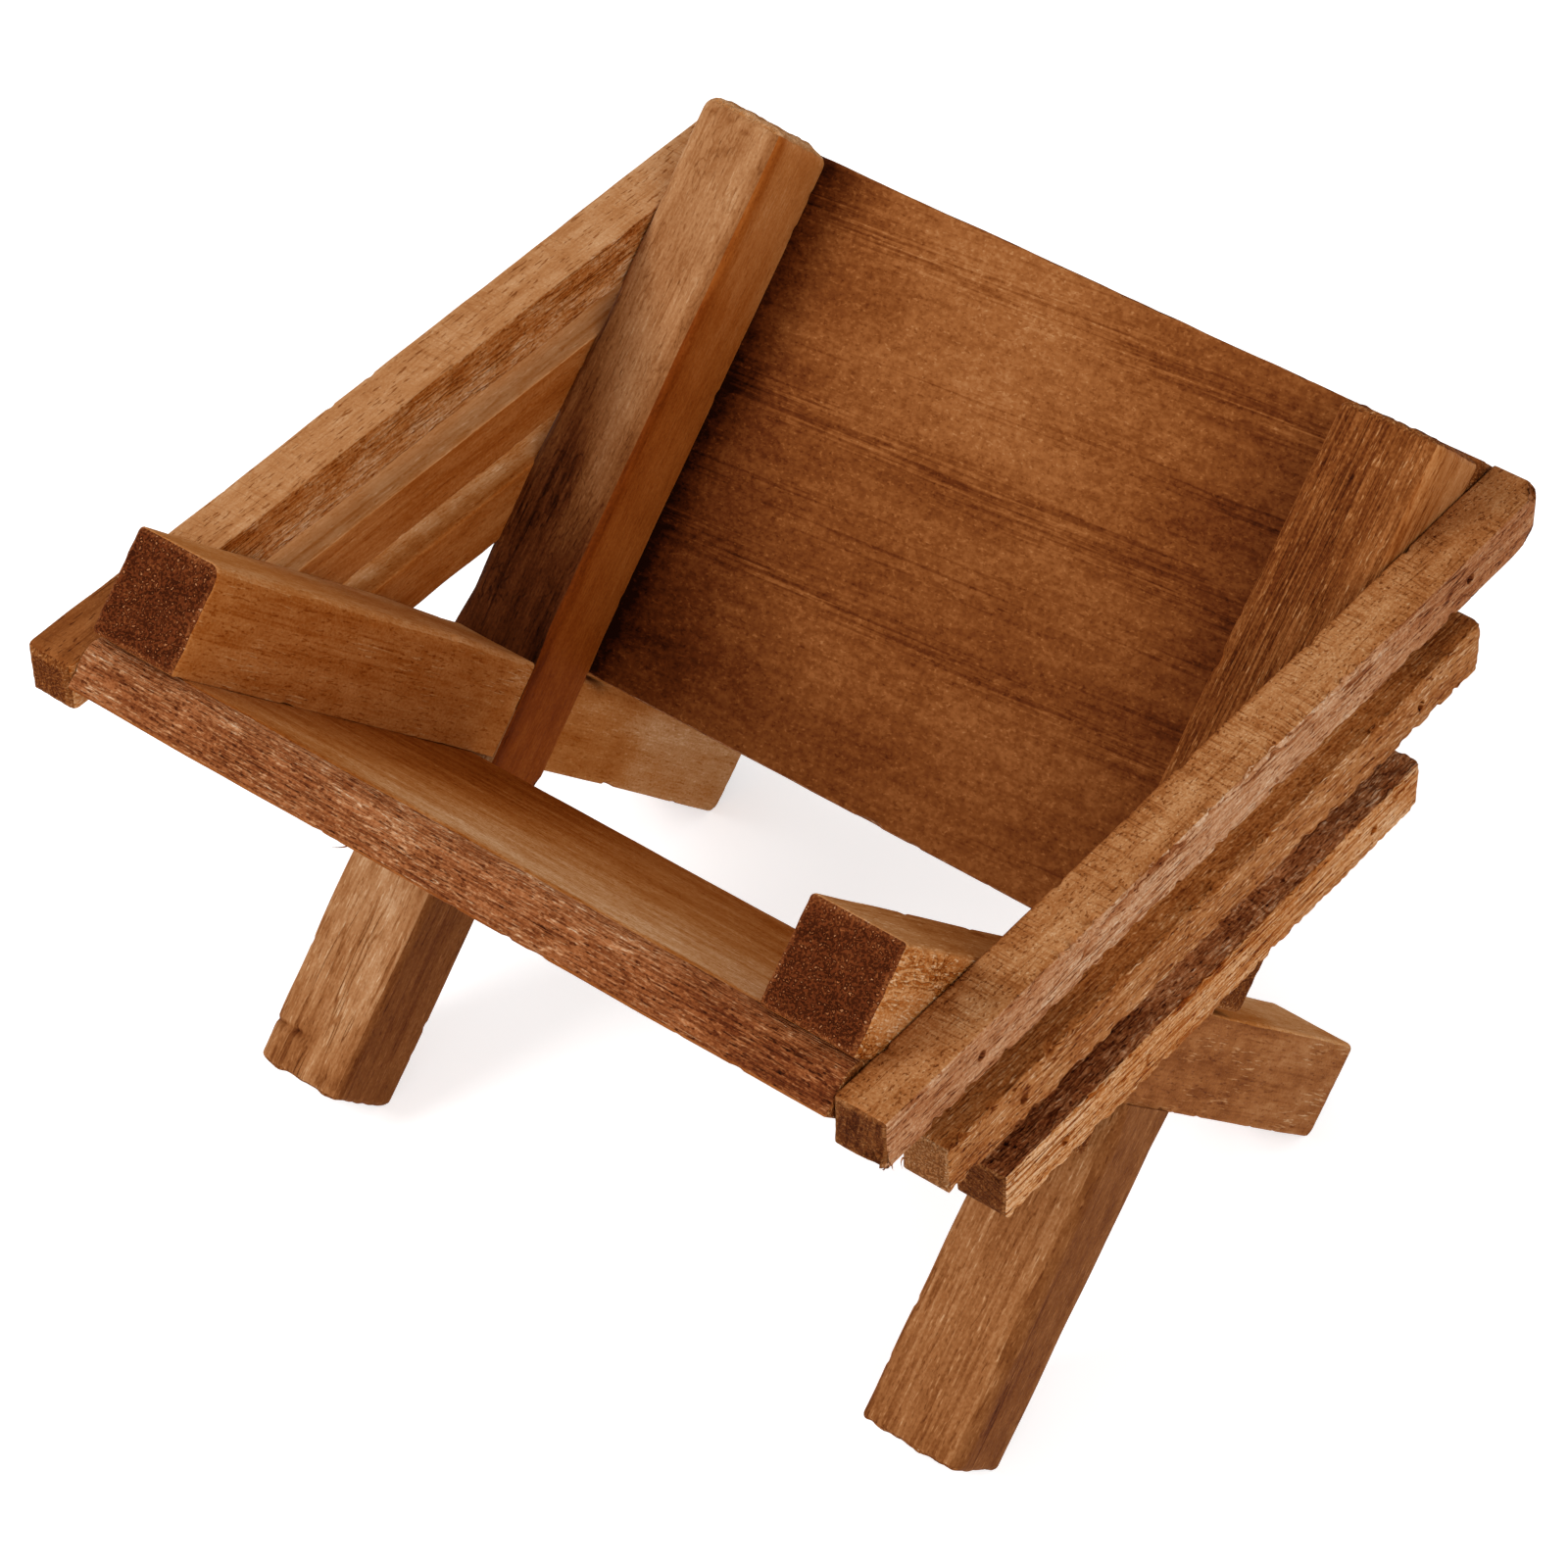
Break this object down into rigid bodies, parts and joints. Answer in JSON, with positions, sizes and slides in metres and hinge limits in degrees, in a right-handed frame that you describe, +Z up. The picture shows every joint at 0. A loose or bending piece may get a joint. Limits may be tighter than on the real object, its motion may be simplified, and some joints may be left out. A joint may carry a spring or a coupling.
{
  "type": "wooden manger",
  "caption": "Small wooden manger of crossed square legs carrying two sloping boards and slatted ends, open at the top, to hold straw or a crib figure.",
  "frame": {"origin": "on the floor, under the middle of the trough", "axes": "+X along the trough from the left frame to the right one, +Y from front to back across it, +Z up"},
  "size_m": [0.0974, 0.103, 0.0809],
  "materials": {
    "leg_wood": "stained, satin",
    "board_wood": "stained, satin",
    "slat_wood": "rough sawn, stained",
    "pin_steel": "dulled"
  },
  "bodies": {
    "root": {"left_front_leg": "leg_wood", "left_back_leg": "leg_wood", "right_front_leg": "leg_wood", "right_back_leg": "leg_wood", "front_board": "board_wood", "back_board": "board_wood", "left_top_slat": "slat_wood", "left_middle_slat": "slat_wood", "left_bottom_slat": "slat_wood", "right_top_slat": "slat_wood", "right_middle_slat": "slat_wood", "right_bottom_slat": "slat_wood", "left_slat_pins": "pin_steel", "right_slat_pins": "pin_steel"}
  },
  "joints": []
}
